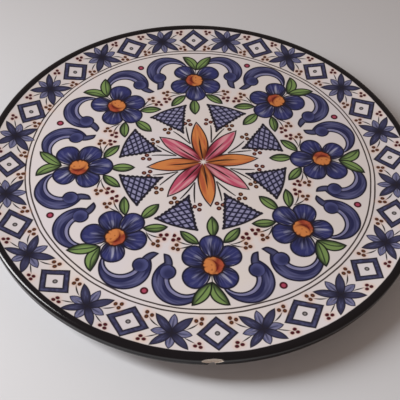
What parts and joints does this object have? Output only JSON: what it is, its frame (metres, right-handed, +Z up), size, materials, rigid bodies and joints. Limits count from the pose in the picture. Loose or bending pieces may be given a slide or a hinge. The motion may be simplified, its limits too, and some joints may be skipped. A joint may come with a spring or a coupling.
{
  "type": "ceramic wall plate",
  "caption": "Round glazed earthenware wall plate with a shallow well, a rolled dark rim and a foot ring, hand-painted with flowers and scrolls.",
  "frame": {"origin": "on the table under the plate's centre, at the middle of the foot ring's flat underside", "axes": "+Z up out of the painted face, +Y towards the two wire holes in the foot ring, -Y towards the chipped edge"},
  "size_m": [0.3, 0.3, 0.024],
  "materials": {
    "glazed_earthenware": "glossy clear glaze over a pinkish white ground painted in cobalt blue, lavender, green, orange and pink, with a black glazed rim"
  },
  "bodies": {
    "root": {"plate": "glazed_earthenware"}
  },
  "joints": []
}
